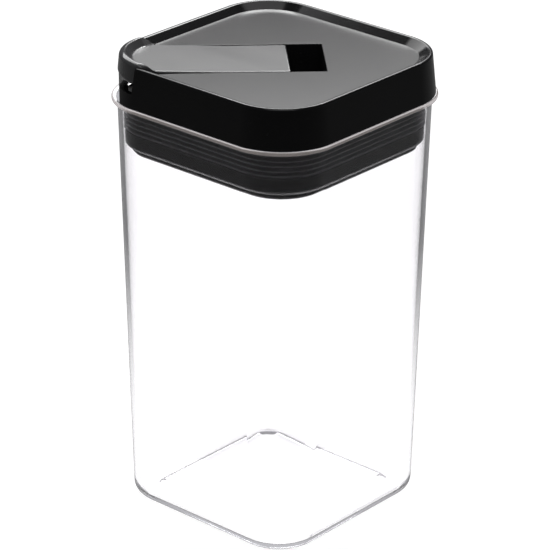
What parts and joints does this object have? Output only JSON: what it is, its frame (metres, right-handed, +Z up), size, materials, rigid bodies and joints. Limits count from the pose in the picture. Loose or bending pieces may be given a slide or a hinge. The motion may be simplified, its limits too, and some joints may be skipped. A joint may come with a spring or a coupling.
{
  "type": "lidded storage canister",
  "caption": "Tall clear square canister with a press-in lid, whose corner lever turns a cam that pulls a cup up and squeezes a ribbed gasket against the mouth.",
  "frame": {"origin": "centre of the foot, on the surface that the canister stands on", "axes": "+Z up out of the lid; the flat sides face X and Y; the lever runs on the diagonal from its hook at the corner at -X -Y"},
  "size_m": [0.1036, 0.1036, 0.1898],
  "materials": {
    "clear_wall": "clear, polished",
    "shell_gloss": "high gloss black",
    "plate_satin": "fine satin black",
    "lever_satin": "fine satin black, glossy at the hook",
    "housing_plastic": "moulded black",
    "silicone": "smooth silicone",
    "cup_gloss": "gloss black",
    "stem_plastic": "moulded acetal",
    "steel": "bright stainless"
  },
  "bodies": {
    "base": {"canister": "clear_wall"},
    "lid": {"lid_shell": "shell_gloss", "top_plate": "plate_satin", "inner_housing": "housing_plastic", "cam_plate": "steel", "lid_screws": "steel", "gasket": "silicone"},
    "cup": {"pressure_cup": "cup_gloss", "pull_stem": "stem_plastic", "stem_screw": "steel", "sealing_washer": "silicone"},
    "handle": {"lever": "lever_satin", "lever_pin": "steel"}
  },
  "joints": [
    {"name": "lid_lift", "type": "slide", "parent": "base", "child": "lid", "axis": [0, 0, 1], "range_m": [0, 0.045]},
    {"name": "cup_slide", "type": "slide", "parent": "lid", "child": "cup", "axis": [0, 0, 1], "range_m": [-0.0025, 0], "deforming": ["gasket"]},
    {"name": "lever_hinge", "type": "hinge", "parent": "cup", "child": "handle", "pos_m": [0.00106, 0.00106, 0.1704], "axis": [-0.7071, 0.7071, 0], "range_deg": [0, 90]}
  ],
  "couplings": [
    {"joint": "cup_slide", "follows": "lever_hinge", "m_per_rad": -0.0015915}
  ]
}
